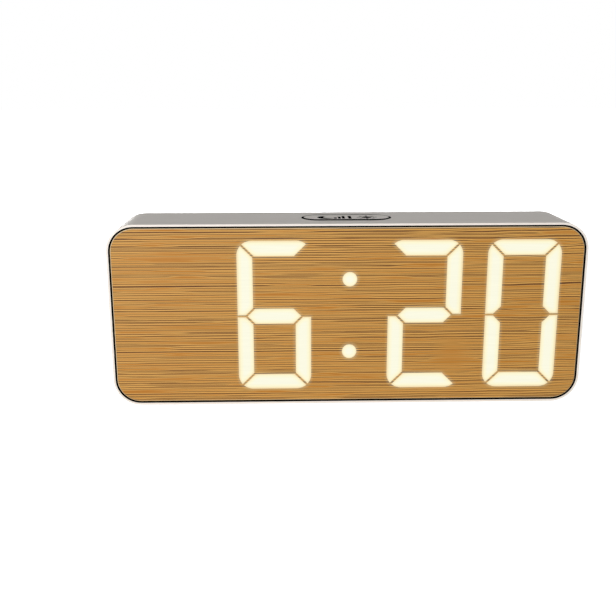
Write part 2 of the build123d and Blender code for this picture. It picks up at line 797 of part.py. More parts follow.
with BuildPart() as smoothing_capacitors:
    with BuildSketch(facing_front(main_y)):
        with Locations(capacitor_place):
            with GridLocations(capacitor_pitch, 0, 2, 1):
                Circle(capacitor_diameter / 2)
    extrude(amount=capacitor_height)
    fillet(smoothing_capacitors.faces().group_by(Axis.Y)[0].edges(), cell_edge_round)
pieces["smoothing_capacitors"] = smoothing_capacitors

# Board-to-board connector: socket on the display board, pin strip on the main board
header_length = header_pins * header_pitch
socket_height = main_y - display_back_y - header_base - header_play
first_pin_x = header_place[0] - (header_pins - 1) / 2 * header_pitch
pin_places = [(first_pin_x + i * header_pitch, header_place[1]) for i in range(header_pins)]
with BuildPart() as board_socket:
    with BuildSketch(facing_front(display_back_y)):
        with Locations(header_place):
            Rectangle(header_length, header_pitch)
    run_back(socket_height)
    with BuildSketch(facing_front(display_back_y + socket_height - header_pin_reach - header_play)):
        with Locations(*pin_places):
            Circle(socket_bore / 2)
    run_back(header_pin_reach + header_play + overrun, Mode.SUBTRACT)
pieces["board_socket"] = board_socket

with BuildPart() as board_plug:
    with BuildSketch(facing_front(main_y - header_base)):
        with Locations(header_place):
            Rectangle(header_length, header_pitch)
    run_back(header_base)
    with BuildSketch(facing_front(main_y - header_base - header_play - header_pin_reach)):
        with Locations(*pin_places):
            Circle(header_pin / 2)
    run_back(header_pin_reach + header_play + header_base)
pieces["board_plug"] = board_plug

# Three cells lying across the bay, their nubs turned to alternate sides
for i, (cell_z, facing) in enumerate(zip(cell_rows, cell_facings)):
    spring_side_x = bay_x - facing * (bay_length / 2 - contact_thickness - contact_bow)
    cell_foot = (spring_side_x, cell_y, mid_z + cell_z)
    cell_plane = Plane(origin=cell_foot, x_dir=(0, 1, 0), z_dir=(facing, 0, 0))
    with BuildPart() as battery_cell:
        with BuildSketch(cell_plane):
            Circle(cell_diameter / 2)
        extrude(amount=cell_length - cell_nub_height)
        fillet(battery_cell.edges(), cell_edge_round)
        with BuildSketch(cell_plane.offset(cell_length - cell_nub_height)):
            Circle(cell_nub_diameter / 2)
        extrude(amount=cell_nub_height)
    pieces[f"battery_cell_{i + 1}"] = battery_cell


def contact_group(side):
    """Contacts on one end wall of the bay: a bowed leaf for each flat cell end, a plate for each nub."""
    wall_x = bay_x + side * bay_length / 2
    with BuildPart() as contacts:
        for cell_z, facing in zip(cell_rows, cell_facings):
            wall_place = (wall_x, cell_y, mid_z + cell_z)
            contact_plane = Plane(origin=wall_place, x_dir=(0, 1, 0), z_dir=(-side, 0, 0))
            with BuildSketch(contact_plane):
                Rectangle(contact_size, contact_size)
            extrude(amount=contact_thickness)
            if facing == side:
                continue
            foot_x_local = contact_thickness / 2
            crown_x_local = contact_thickness + contact_bow
            half_span = contact_size / 2
            bow_plane = Plane(
                origin=(wall_x, cell_y, mid_z + cell_z - contact_bow_height / 2),
                x_dir=(-side, 0, 0),
                z_dir=(0, 0, 1),
            )
            with BuildSketch(bow_plane):
                with BuildLine():
                    ThreePointArc((foot_x_local, -half_span), (crown_x_local, 0), (foot_x_local, half_span))
                    Line((foot_x_local, half_span), (foot_x_local, half_span - contact_thickness))
                    ThreePointArc(
                        (foot_x_local, half_span - contact_thickness),
                        (crown_x_local - contact_thickness, 0),
                        (foot_x_local, contact_thickness - half_span),
                    )
                    Line((foot_x_local, contact_thickness - half_span), (foot_x_local, -half_span))
                make_face()
            extrude(amount=contact_bow_height)
    return contacts


pieces["battery_contacts_left"] = contact_group(-1)
pieces["battery_contacts_right"] = contact_group(1)

# Battery door: flat plate with two hooks at its top edge and a ribbed thumb recess near its foot
with BuildPart() as battery_door:
    with BuildSketch(facing_front(door_y)):
        with Locations((bay_x, bay_z)):
            Rectangle(door_width, door_height)
    run_back(door_thickness)
    with BuildSketch(facing_front(hook_y)):
        with Locations((bay_x, door_top_z - hook_root / 2)):
            with GridLocations(hook_pitch, 0, 2, 1):
                Rectangle(hook_width, hook_root)
    run_back(door_y - hook_y)
    with BuildSketch(facing_front(hook_y)):
        with Locations((bay_x, door_top_z + (hook_reach - hook_root) / 2)):
            with GridLocations(hook_pitch, 0, 2, 1):
                Rectangle(hook_width, hook_reach + hook_root)
    run_back(hook_thickness)
    with BuildSketch(facing_front(back_y - grip_depth)):
        with Locations((bay_x, bay_z - door_height / 2 + grip_inset + grip_height / 2)):
            SlotOverall(grip_width, grip_height)
            with GridLocations(0, grip_height / (grip_rib_count + 1), 1, grip_rib_count):
                Rectangle(grip_width - grip_height, grip_rib_width, mode=Mode.SUBTRACT)
    run_back(grip_depth + overrun, Mode.SUBTRACT)
pieces["battery_door"] = battery_door


def lead(points):
    """Round insulated wire along straight runs joined by one bend radius."""
    with BuildPart() as wire:
        with BuildLine() as route:
            FilletPolyline(*points, radius=lead_bend)
        with BuildSketch(Plane(origin=points[0], z_dir=Vector(*points[1]) - Vector(*points[0]))):
            Circle(lead_diameter / 2)
        sweep(path=route.wires()[0])
    return wire


# Battery leads: out of the bay's end wall, then back on to the front of the main board
lead_y = main_y - lead_stand_off
lead_end_x = main_left_x + lead_run
for colour, side in (("red", 1), ("black", -1)):
    lead_z = mid_z + bay_z + side * lead_pitch / 2
    pieces[f"battery_lead_{colour}"] = lead(
        [
            (bay_right_x, lead_y, lead_z),
            (lead_end_x, lead_y, lead_z),
            (lead_end_x, main_y, lead_z),
        ]
    )

# Lead from the snooze board down to the front of the main board
snooze_lead_x = main_left_x + snooze_lead_inset
snooze_lead_end_z = snooze_board_z - snooze_lead_drop
pieces["snooze_lead"] = lead(
    [
        (snooze_lead_x, lead_y, snooze_board_z),
        (snooze_lead_x, lead_y, snooze_lead_end_z),
        (snooze_lead_x, main_y, snooze_lead_end_z),
    ]
)

# Rubber pads let into the underside
foot_names = {"front_left": (-1, -1), "front_right": (1, -1), "rear_left": (-1, 1), "rear_right": (1, 1)}
for corner, (side_x, side_y) in foot_names.items():
    with BuildPart() as foot_pad:
        with BuildSketch(Plane.XY):
            with Locations((side_x * foot_x, case_middle_y + side_y * foot_y)):
                Circle(foot_diameter / 2)
        extrude(amount=foot_thickness)
        fillet(foot_pad.faces().sort_by(Axis.Z)[0].edges(), foot_edge_round)
    pieces[f"foot_pad_{corner}"] = foot_pad

os.makedirs("parts", exist_ok=True)
for node, piece in pieces.items():
    piece.part.label = node
    export_step(piece.part, f"parts/{node}.step")
print(f"{len(pieces)} nodes")
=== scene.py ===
import math

import bpy
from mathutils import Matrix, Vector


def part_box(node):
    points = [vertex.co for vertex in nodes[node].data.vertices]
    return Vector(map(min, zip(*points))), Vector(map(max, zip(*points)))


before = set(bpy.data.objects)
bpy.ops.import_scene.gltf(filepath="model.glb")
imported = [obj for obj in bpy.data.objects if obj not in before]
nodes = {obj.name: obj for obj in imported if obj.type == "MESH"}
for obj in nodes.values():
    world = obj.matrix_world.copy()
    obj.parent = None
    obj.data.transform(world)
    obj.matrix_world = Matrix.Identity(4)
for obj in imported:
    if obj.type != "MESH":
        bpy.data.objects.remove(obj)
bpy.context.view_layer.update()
mm = 0.001

# Viewpoint of the photograph: 30 cm in front of the clock, a little left of its middle and 11 cm above
# the table, looking down by 14 degrees. It was found from the outlines of the face, figures and top.
image_size = 616
focal_length_pixels = 858.15
camera_place = (-20.231 * mm, -296.545 * mm, 107.77 * mm)
camera_turn = (75.554, 0.087, -1.353)
camera_data = bpy.data.cameras.new("photo_camera")
camera_data.lens = focal_length_pixels / image_size * camera_data.sensor_width
camera = bpy.data.objects.new("photo_camera", camera_data)
camera.location = camera_place
camera.rotation_euler = [math.radians(angle) for angle in camera_turn]
bpy.context.scene.collection.objects.link(camera)
bpy.context.scene.camera = camera
bpy.context.scene.view_settings.view_transform = "Standard"


# Studio: a white paper floor in a white room. A large soft lamp in front, a little to the left, lights
# the face, and strip lamps that stand on the floor light the sides and the back from below the level of
# the top, so that the top falls into a light grey shade, as in the photograph.
def from_hex(code):
    """Linear colour with full alpha from an sRGB hex value."""
    channels = [int(code[i:i + 2], 16) / 255 for i in (1, 3, 5)]
    return [c / 12.92 if c <= 0.04045 else ((c + 0.055) / 1.055) ** 2.4 for c in channels] + [1]


def add_node(tree, kind, inputs=None, output=None, node=None, **settings):
    """Add a node, or take the given one, and set its properties and its sockets, by name or by number. A value
    that is itself a socket is linked. What comes back is the node's first live output, or the named one."""
    node = node or tree.nodes.new(kind)
    for name, value in settings.items():
        setattr(node, name, value)
    for key, value in (inputs or {}).items():
        if isinstance(key, int):
            socket = node.inputs[key]
        else:
            socket = next(s for s in node.inputs if s.enabled and s.name == key)
        if isinstance(value, bpy.types.NodeSocket):
            tree.links.new(value, socket)
        else:
            socket.default_value = value
    return next((s for s in node.outputs if s.enabled and output in (None, s.name)), None)


def inside_of(material):
    """A material's node tree and its Principled shader."""
    return material.node_tree, material.node_tree.nodes["Principled BSDF"]


def new_material(name):
    """A node material: the material, its tree and its Principled shader."""
    material = bpy.data.materials.new(name)
    material.use_nodes = True
    return material, *inside_of(material)


def seen_directly(tree):
    """1 for the rays of a viewer, a mirror or a clear part, 0 for the light that falls on things."""
    camera_ray = add_node(tree, "ShaderNodeLightPath", output="Is Camera Ray")
    sources = camera_ray.node.outputs
    seen = add_node(tree, "ShaderNodeMath", {0: camera_ray, 1: sources["Is Glossy Ray"]}, operation="MAXIMUM")
    return add_node(tree, "ShaderNodeMath", {0: seen, 1: sources["Is Transmission Ray"]}, operation="MAXIMUM")


room_light = 0.175
floor_glow = 0.85
glow_start = 0.3
glow_full = 0.9
floor_half_width = 4.0
strip_distance = 0.55
strip_height = 0.032
strip_width = 0.5
strip_rise = 0.05

world = bpy.data.worlds.new("white_room")
bpy.context.scene.world = world
world.use_nodes = True
tree = world.node_tree
room_level = add_node(tree, "ShaderNodeMapRange", {"Value": seen_directly(tree), "To Min": room_light, "To Max": 1.0})
add_node(tree, None, {"Color": from_hex("#FFFFFF"), "Strength": room_level}, node=tree.nodes["Background"])

paper, tree, shader = new_material("white_paper_floor")
matt = add_node(tree, "ShaderNodeBsdfDiffuse", {"Color": from_hex("#F2F2F2")})
place = add_node(tree, "ShaderNodeTexCoord", output="Object")
far = add_node(tree, "ShaderNodeVectorMath", {"Vector": place}, operation="LENGTH")
fill = add_node(tree, "ShaderNodeMapRange", {"Value": far, "From Min": glow_start, "From Max": glow_full,
                                             "To Min": floor_glow, "To Max": 1.0})
glow_level = add_node(tree, "ShaderNodeMath", {0: seen_directly(tree), 1: fill}, operation="MULTIPLY")
glow = add_node(tree, "ShaderNodeEmission", {"Strength": glow_level})
lit_paper = add_node(tree, "ShaderNodeAddShader", {0: matt, 1: glow})
tree.nodes.remove(shader)
tree.links.new(lit_paper, tree.nodes["Material Output"].inputs["Surface"])

bpy.ops.object.select_all(action="DESELECT")
bpy.ops.mesh.primitive_plane_add(size=2 * floor_half_width)
floor = bpy.context.object
floor.name = "paper_floor"
floor.data.materials.append(paper)


def soft_lamp(name, watts, distance, turn, height, width, rise):
    """A soft lamp that faces the clock from that distance, turned about it from straight in front."""
    lamp_data = bpy.data.lights.new(name, "AREA")
    lamp_data.shape = "RECTANGLE"
    lamp_data.size = width
    lamp_data.size_y = rise
    lamp_data.energy = watts
    lamp = bpy.data.objects.new(name, lamp_data)
    lamp.location = (math.sin(turn) * distance, -math.cos(turn) * distance, height)
    lamp.rotation_euler = (math.pi / 2, 0, turn)
    bpy.context.scene.collection.objects.link(lamp)


soft_lamp("front_lamp", watts=7.4, distance=1.0, turn=math.radians(-24), height=0.20, width=0.6, rise=0.3)
for quarters, (side, watts) in enumerate((("right", 0.8), ("back", 2.0), ("left", 0.7)), start=1):
    soft_lamp(f"{side}_strip", watts=watts, distance=strip_distance, turn=quarters * math.pi / 2,
              height=strip_height, width=strip_width, rise=strip_rise)


# Case: one white ABS moulding, a sleeve open at the front and the back. Its tool was spark-eroded,
# which leaves a fine satin skin, and the outer edges are only just broken.
def dress(material, *names):
    """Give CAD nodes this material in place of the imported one."""
    for name in names:
        nodes[name].data.materials.clear()
        nodes[name].data.materials.append(material)


uneven_gloss = 0.05


def moulded_plastic(name, shade, deeper, roughness, grain, relief, cloud=12 * mm, more=None):
    """Moulded plastic: two near shades in slow clouds, and the eroded skin of its mould as grain of that width
    and relief, which also makes the gloss a little uneven. More sets further sockets of its shader."""
    material, tree, shader = new_material(name)
    place = add_node(tree, "ShaderNodeTexCoord", output="Object")
    clouds = add_node(tree, "ShaderNodeTexNoise", {"Vector": place, "Scale": 1 / cloud, "Detail": 2.0})
    colour = add_node(tree, "ShaderNodeMix", {"Factor": clouds, "A": from_hex(shade), "B": from_hex(deeper)},
                      data_type="RGBA")
    skin = add_node(tree, "ShaderNodeTexNoise", {"Vector": place, "Scale": 1 / grain, "Detail": 1.5})
    gloss = add_node(tree, "ShaderNodeMapRange", {"Value": skin, "To Min": roughness - uneven_gloss,
                                                  "To Max": roughness + uneven_gloss})
    bump = add_node(tree, "ShaderNodeBump", {"Height": skin, "Distance": relief})
    add_node(tree, None, {"Base Color": colour, "Roughness": gloss, "IOR": 1.53, "Normal": bump, **(more or {})},
             node=shader)
    return material


white_abs = moulded_plastic("satin_white_abs", "#F5EEE6", "#EFE7DE", roughness=0.5, grain=0.35 * mm,
                            relief=0.004 * mm)
dress(white_abs, "housing")


# Seal of the front panel: black acrylic foam tape, die-cut as a ring and pressed into the gap between the panel and the
# lip. Only its cut edge shows, black and without gloss: painted shade that stands for the dark of the narrow gap, a
# dead black line.
dress(moulded_plastic("gap_shade_black_foam", "#030303", "#080606", roughness=0.9, grain=0.4 * mm, relief=0.03 * mm,
                      more={"Specular IOR Level": 0.0}), "panel_gasket")


# Front panel: a plate of clear cast acrylic that carries the film. It is cut by laser, which leaves the
# edge almost as clear as the faces, and only a trace of haze breaks up its gloss.
clear_acrylic, tree, shader = new_material("clear_cast_acrylic")
place = add_node(tree, "ShaderNodeTexCoord", output="Object")
speckle = add_node(tree, "ShaderNodeTexNoise", {"Vector": place, "Scale": 1 / (0.6 * mm)})
haze = add_node(tree, "ShaderNodeMapRange", {"Value": speckle, "To Max": 0.08})
add_node(tree, None, {"Base Color": from_hex("#FCFCF8"), "Roughness": haze, "IOR": 1.49,
                      "Transmission Weight": 1.0}, node=shader)
dress(clear_acrylic, "front_panel")


# Bamboo film on the panel's face: a printed veneer pattern under a matt varnish, thin enough for the figures to shine
# through. Its bevelled cut edge is paler: a painted highlight, which also stands for the pale core bare there. The
# distance to the nearest lit area gives the light that creeps round it.
panel_middle_z = 32.15 * mm
digit_width = 25.0 * mm
digit_height = 52.1 * mm
segment_width = 5.3 * mm
segment_gap = 0.65 * mm
segment_tip_inset = 2.9 * mm
tip_softness = 1.5 * mm
digit_corner = 5.0 * mm
shown_segments = {-25.1 * mm: "acdefg", 26.1 * mm: "abdeg", 59.5 * mm: "abcdef"}
dot_radius = 2.5 * mm
dot_x = 0.5 * mm
dot_rise = 12.7 * mm
dot_places = [(dot_x, 0, panel_middle_z - dot_rise), (dot_x, 0, panel_middle_z + dot_rise)]


def segment_edges(letter):
    """The straight edges of one segment, as the outward direction in x and z and the distance from the figure's
    middle at which the edge lies in that direction."""
    slant = math.sqrt(0.5)
    mitre = (digit_height - digit_width) / 2 * slant
    tip = (digit_width / 2 - segment_tip_inset) * slant
    gap = segment_gap / 2
    if letter == "g":
        tips = [(x * slant, z * slant, tip - gap) for x in (-1, 1) for z in (-1, 1)]
        return tips + [(0, z, segment_width / 2) for z in (-1, 1)]
    if letter in "ad":
        z = 1 if letter == "a" else -1
        ends = [(x * slant, -z * slant, -mitre - gap) for x in (-1, 1)]
        return ends + [(0, z, digit_height / 2), (0, -z, segment_width - digit_height / 2)]
    x = 1 if letter in "bc" else -1
    z = 1 if letter in "bf" else -1
    sides = [(x, 0, digit_width / 2), (-x, 0, segment_width - digit_width / 2)]
    return sides + [(-x * slant, z * slant, mitre - gap), (0, -z, -gap), (-x * slant, -z * slant, -tip - gap)]


def distance_to_lit_areas(tree, place):
    """Distance in metres to the nearest lit segment or dot, below zero inside it. A segment is cut by its straight
    edges and by the round corners of its figure. With the y of a point replaced by 1, one dot product with
    (x, -reach, z) gives the distance from an edge. The smooth maximum keeps sharp tips from growing spikes."""
    flat = add_node(tree, "ShaderNodeVectorMath", {0: place, 1: (1, 0, 1)}, operation="MULTIPLY")
    point = add_node(tree, "ShaderNodeVectorMath", {0: flat, 1: (0, 1, -panel_middle_z)}, operation="ADD")
    nearest = None
    for digit_x, letters in shown_segments.items():
        offset = add_node(tree, "ShaderNodeVectorMath", {0: flat, 1: (digit_x, 0, panel_middle_z)},
                          operation="SUBTRACT")
        apart = add_node(tree, "ShaderNodeVectorMath", {0: offset}, operation="ABSOLUTE")
        past = add_node(tree, "ShaderNodeVectorMath", {0: apart, 1: (digit_width / 2 - digit_corner, 0,
                                                                     digit_height / 2 - digit_corner)},
                        operation="SUBTRACT")
        corner = add_node(tree, "ShaderNodeVectorMath", {0: past, 1: (0, 0, 0)}, operation="MAXIMUM")
        reach = add_node(tree, "ShaderNodeVectorMath", {0: corner}, operation="LENGTH")
        outline = add_node(tree, "ShaderNodeMath", {0: reach, 1: digit_corner}, operation="SUBTRACT")
        for letter in letters:
            segment = outline
            for out_x, out_z, reach in segment_edges(letter):
                edge = add_node(tree, "ShaderNodeVectorMath", {0: point, 1: (out_x, -reach - out_x * digit_x, out_z)},
                                operation="DOT_PRODUCT")
                segment = add_node(tree, "ShaderNodeMath", {0: segment, 1: edge, 2: tip_softness},
                                   operation="SMOOTH_MAX")
            nearest = segment if nearest is None else add_node(
                tree, "ShaderNodeMath", {0: nearest, 1: segment}, operation="MINIMUM")
    for dot_place in dot_places:
        from_middle = add_node(tree, "ShaderNodeVectorMath", {0: flat, 1: dot_place}, operation="DISTANCE")
        dot = add_node(tree, "ShaderNodeMath", {0: from_middle, 1: dot_radius}, operation="SUBTRACT")
        nearest = add_node(tree, "ShaderNodeMath", {0: nearest, 1: dot}, operation="MINIMUM")
    return nearest


def streaks(tree, place, length, pitch, shift=0.0, detail=1.0):
    """Noise drawn out along x: streaks of that length, that far apart. The shift picks another part of it."""
    stretched = add_node(tree, "ShaderNodeVectorMath", {0: place, 1: (1 / length, 1 / length, 1 / pitch),
                                                        2: (shift, 0, shift)}, operation="MULTIPLY_ADD")
    return add_node(tree, "ShaderNodeTexNoise", {"Vector": stretched, "Scale": 1.0, "Detail": detail})


def largest(tree, first, *others):
    """The largest of several values, which joins the shapes that they draw."""
    for other in others:
        first = add_node(tree, "ShaderNodeMath", {0: first, 1: other}, operation="MAXIMUM")
    return first


sheath_share = 1.9
dash_edge = 0.06 * mm
dash_taper = 0.09
row_jitter = 0.12
row_step = 7.31
weakest_row = 0.5


def dash_rows(tree, place, pitch, length, thickness, share, seed):
    """Dark vascular dashes in rows, one line somewhere in each row, some rows stronger than others. Along the row a
    noise switches the line on and off, so the dashes are about that long, with short pointed ends. Gives them, and
    the pale sheath of fibres round them."""
    x = add_node(tree, "ShaderNodeSeparateXYZ", {"Vector": place})
    level = add_node(tree, "ShaderNodeMath", {0: x.node.outputs["Z"], 1: 1 / pitch}, operation="MULTIPLY")
    row = add_node(tree, "ShaderNodeMath", {0: level}, operation="FLOOR")
    part = add_node(tree, "ShaderNodeMath", {0: level}, operation="FRACT")
    numbered = add_node(tree, "ShaderNodeMath", {0: row, 1: seed}, operation="ADD")
    chance = add_node(tree, "ShaderNodeTexWhiteNoise", {"W": numbered}, noise_dimensions="1D")
    second_chance = add_node(tree, "ShaderNodeSeparateXYZ", {"Vector": chance.node.outputs["Color"]})
    middle = add_node(tree, "ShaderNodeMapRange", {"Value": chance, "To Min": 0.5 - row_jitter,
                                                   "To Max": 0.5 + row_jitter})
    apart = add_node(tree, "ShaderNodeMath", {0: part, 1: middle}, operation="SUBTRACT")
    away = add_node(tree, "ShaderNodeMath", {0: apart}, operation="ABSOLUTE")
    along = add_node(tree, "ShaderNodeMath", {0: x, 1: 1 / length}, operation="MULTIPLY")
    across = add_node(tree, "ShaderNodeMath", {0: numbered, 1: row_step}, operation="MULTIPLY")
    spot = add_node(tree, "ShaderNodeCombineXYZ", {"X": along, "Y": across})
    swell = add_node(tree, "ShaderNodeTexNoise", {"Vector": spot, "Scale": 1.0, "Detail": 1.0})
    full = add_node(tree, "ShaderNodeMapRange", {"Value": second_chance, "To Min": weakest_row * thickness / pitch / 2,
                                                 "To Max": thickness / pitch / 2})
    half = add_node(tree, "ShaderNodeMapRange", {"Value": swell, "From Min": 1 - share,
                                                 "From Max": 1 + dash_taper - share, "To Max": full})
    inside = add_node(tree, "ShaderNodeMath", {0: half, 1: away}, operation="SUBTRACT")
    near = add_node(tree, "ShaderNodeMath", {0: half, 1: sheath_share, 2: inside}, operation="MULTIPLY_ADD")
    return [add_node(tree, "ShaderNodeMapRange", {"Value": reached, "From Max": dash_edge / pitch})
            for reached in (inside, near)]


smooth_patch = (36 * mm, 0, panel_middle_z - 14 * mm)
sheath_strength = 0.75
dash_layers = ((0.80 * mm, 34 * mm, 0.32 * mm, 0.64, 5.0), (0.96 * mm, 40 * mm, 0.30 * mm, 0.60, 23.0),
               (2.3 * mm, 52 * mm, 0.28 * mm, 0.54, 77.0))


def bamboo_print(tree, place):
    """The veneer pattern: colour in broad bands, faint fibres, and dark vascular dashes in pale sheaths, straight
    at the left and wavering at the right, with a calm patch by the third figure. The dashes are drawn coarse
    enough to show: three sets of rows, each with its pitch, length, thickness, share and seed. Gives the colour,
    and the dashes' height."""
    along = add_node(tree, "ShaderNodeSeparateXYZ", {"Vector": place})
    waver = add_node(tree, "ShaderNodeMapRange", {"Value": along, "From Min": -20 * mm, "From Max": 70 * mm,
                                                  "To Min": 0.2 * mm, "To Max": 1.6 * mm})
    bend = streaks(tree, place, length=22 * mm, pitch=6 * mm, shift=7.0)
    centred = add_node(tree, "ShaderNodeMath", {0: bend, 1: 0.5}, operation="SUBTRACT")
    rise = add_node(tree, "ShaderNodeMath", {0: centred, 1: waver}, operation="MULTIPLY")
    offset = add_node(tree, "ShaderNodeCombineXYZ", {"Z": rise})
    bent = add_node(tree, "ShaderNodeVectorMath", {0: place, 1: offset}, operation="ADD")

    bands = streaks(tree, bent, length=120 * mm, pitch=9 * mm, detail=2.0)
    tone = add_node(tree, "ShaderNodeMapRange", {"Value": bands, "From Min": 0.32, "From Max": 0.68})
    ground = add_node(tree, "ShaderNodeMix", {"Factor": tone, "A": from_hex("#B07221"), "B": from_hex("#B97A2B")},
                      data_type="RGBA")
    fibres = streaks(tree, bent, length=26 * mm, pitch=0.8 * mm, shift=3.0)
    fibre_level = add_node(tree, "ShaderNodeMapRange", {"Value": fibres, "From Min": 0.40, "From Max": 0.62,
                                                        "To Max": 0.2})
    colour = add_node(tree, "ShaderNodeMix", {"Factor": fibre_level, "A": ground, "B": from_hex("#D6AA62")},
                      data_type="RGBA")
    to_patch = add_node(tree, "ShaderNodeVectorMath", {0: place, 1: smooth_patch}, operation="SUBTRACT")
    squeezed = add_node(tree, "ShaderNodeVectorMath", {0: to_patch, 1: (1.0, 0, 0.9)}, operation="MULTIPLY")
    from_patch = add_node(tree, "ShaderNodeVectorMath", {0: squeezed}, operation="LENGTH")
    strength = add_node(tree, "ShaderNodeMapRange", {"Value": from_patch, "From Min": 2 * mm, "From Max": 8 * mm,
                                                     "To Min": 0.4, "To Max": 1.0})
    layers = [dash_rows(tree, bent, *layer) for layer in dash_layers]
    dashes, sheaths = (largest(tree, *drawn) for drawn in zip(*layers))
    height = add_node(tree, "ShaderNodeMath", {0: dashes, 1: strength}, operation="MULTIPLY")
    strong = add_node(tree, "ShaderNodeMath", {0: sheaths, 1: strength}, operation="MULTIPLY")
    pale = add_node(tree, "ShaderNodeMath", {0: strong, 1: sheath_strength}, operation="MULTIPLY")
    colour = add_node(tree, "ShaderNodeMix", {"Factor": pale, "A": colour, "B": from_hex("#DEAC5A")},
                      data_type="RGBA")
    colour = add_node(tree, "ShaderNodeMix", {"Factor": height, "A": colour, "B": from_hex("#4C2200")},
                      data_type="RGBA")
    return colour, height


halo_reach = 1.4 * mm
halo_strength = 0.10
bamboo_film, tree, shader = new_material("printed_bamboo_film")
place = add_node(tree, "ShaderNodeTexCoord", output="Object")
colour, dash_height = bamboo_print(tree, place)
distance = distance_to_lit_areas(tree, place)
halo = add_node(tree, "ShaderNodeMapRange", {"Value": distance, "From Min": halo_reach, "From Max": 0.0,
                                             "To Max": halo_strength}, interpolation_type="SMOOTHERSTEP")
face = add_node(tree, "ShaderNodeSeparateXYZ", {"Vector": add_node(tree, "ShaderNodeTexCoord", output="Normal")},
                output="Y")
# Painted highlight: the bevelled cut edge, where the face turns away from the front, is given a pale colour, which also
# stands for the film's pale core.
cut_edge_highlight = add_node(tree, "ShaderNodeMapRange", {"Value": face, "From Min": -0.98, "From Max": -0.90})
colour = add_node(tree, "ShaderNodeMix", {"Factor": cut_edge_highlight, "A": colour, "B": from_hex("#E6CFA8")},
                  data_type="RGBA")
relief = add_node(tree, "ShaderNodeBump", {"Height": dash_height, "Distance": 0.01 * mm}, invert=True)
add_node(tree, None, {"Base Color": colour, "Roughness": 0.55, "IOR": 1.49, "Specular IOR Level": 0.3,
                      "Normal": relief, "Emission Color": from_hex("#98DFD8"), "Emission Strength": halo}, node=shader)
dress(bamboo_film, "bamboo_film")


# Lit areas of the film: the same thin print, but flooded from behind by warm white LEDs, so only the
# light is seen, evenly bright in the middle and warmer towards the edge, where the well ends.
even_depth = 1.6 * mm
lit_film, tree, shader = new_material("backlit_film")
place = add_node(tree, "ShaderNodeTexCoord", output="Object")
distance = distance_to_lit_areas(tree, place)
inwards = add_node(tree, "ShaderNodeMapRange", {"Value": distance, "From Min": 0.0, "From Max": -even_depth})
ramp = add_node(tree, "ShaderNodeValToRGB", {"Fac": inwards})
stops = ramp.node.color_ramp.elements
stops[0].color = from_hex("#F7E3B3")
stops[1].color = from_hex("#FCFBE4")
stops.new(0.35).color = from_hex("#FFF9D2")
fibres = streaks(tree, place, length=14 * mm, pitch=0.36 * mm, shift=3.0)
flicker = add_node(tree, "ShaderNodeMapRange", {"Value": fibres, "To Min": 0.90, "To Max": 0.98})
add_node(tree, None, {"Base Color": from_hex("#2A2622"), "Roughness": 0.55, "IOR": 1.49, "Specular IOR Level": 0.3,
                      "Emission Color": ramp, "Emission Strength": flicker}, node=shader)
dress(lit_film, "lit_segments")


# Light box behind the panel: an opal diffuser sheet, then one white ABS moulding with a bright,
# polished well for each segment and dot, closed behind by the display board.
dress(moulded_plastic("opal_diffuser_sheet", "#F4F4F0", "#ECECE8", roughness=0.6, grain=0.2 * mm, relief=0.004 * mm,
                      more={"Subsurface Weight": 0.3, "Subsurface Scale": 1.0 * mm}), "diffuser_sheet")
dress(moulded_plastic("gloss_white_abs", "#F7F7F4", "#F0F0EC", roughness=0.25, grain=1.2 * mm, relief=0.003 * mm),
      "segment_reflector")


# Circuit boards: glass cloth in epoxy under green solder mask, with copper runs that stand up a
# little beneath it and the cloth's weave just showing.
solder_mask, tree, shader = new_material("green_solder_mask")
place = add_node(tree, "ShaderNodeTexCoord", output="Object")
run_pitch = 2.2 * mm
cells = add_node(tree, "ShaderNodeTexVoronoi", {"Vector": place, "Scale": 1 / run_pitch, "Randomness": 0.75},
                 distance="CHEBYCHEV", feature="F1")
far_cells = add_node(tree, "ShaderNodeTexVoronoi", {"Vector": place, "Scale": 1 / run_pitch, "Randomness": 0.75},
                     distance="CHEBYCHEV", feature="F2")
between = add_node(tree, "ShaderNodeMath", {0: far_cells, 1: cells}, operation="SUBTRACT")
copper = add_node(tree, "ShaderNodeMapRange", {"Value": between, "From Min": 0.10, "From Max": 0.16,
                                               "To Min": 1.0, "To Max": 0.0})
mask_colour = add_node(tree, "ShaderNodeMix", {"Factor": copper, "A": from_hex("#0E4A2A"), "B": from_hex("#1C6B3C")},
                       data_type="RGBA")
cloth = add_node(tree, "ShaderNodeTexChecker", {"Vector": place, "Scale": 1 / (0.5 * mm), "Color1": (1, 1, 1, 1),
                                                "Color2": (0, 0, 0, 1)}, output="Fac")
stack = add_node(tree, "ShaderNodeMath", {0: cloth, 1: 0.1, 2: copper}, operation="MULTIPLY_ADD")
board_relief = add_node(tree, "ShaderNodeBump", {"Height": stack, "Distance": 0.035 * mm})
add_node(tree, None, {"Base Color": mask_colour, "Roughness": 0.3, "IOR": 1.55, "Normal": board_relief}, node=shader)
dress(solder_mask, "display_board", "main_board", "snooze_board")


# Moulded parts on the boards: LEDs under a yellow phosphor drop, black epoxy chips, capacitors in a
# shrunk plastic sleeve, a buzzer, and sockets, plugs and switches in black nylon with acetal plungers.
dress(moulded_plastic("led_phosphor", "#F2E7A8", "#E5D27C", roughness=0.4, grain=0.3 * mm, relief=0.01 * mm),
      "segment_leds")
dress(moulded_plastic("moulded_black_epoxy", "#1B1B1D", "#232326", roughness=0.55, grain=0.12 * mm, relief=0.006 * mm),
      "controller_chip", "driver_chip")
dress(moulded_plastic("shrunk_sleeve", "#1E2A44", "#26345A", roughness=0.3, grain=0.8 * mm, relief=0.004 * mm),
      "smoothing_capacitors")
dress(moulded_plastic("black_buzzer_case", "#19191A", "#222224", roughness=0.42, grain=0.3 * mm, relief=0.006 * mm),
      "buzzer")
dress(moulded_plastic("black_connector_nylon", "#151516", "#1E1E20", roughness=0.45, grain=0.2 * mm, relief=0.004 * mm),
      "usb_socket_tongue", "board_socket", "board_plug")
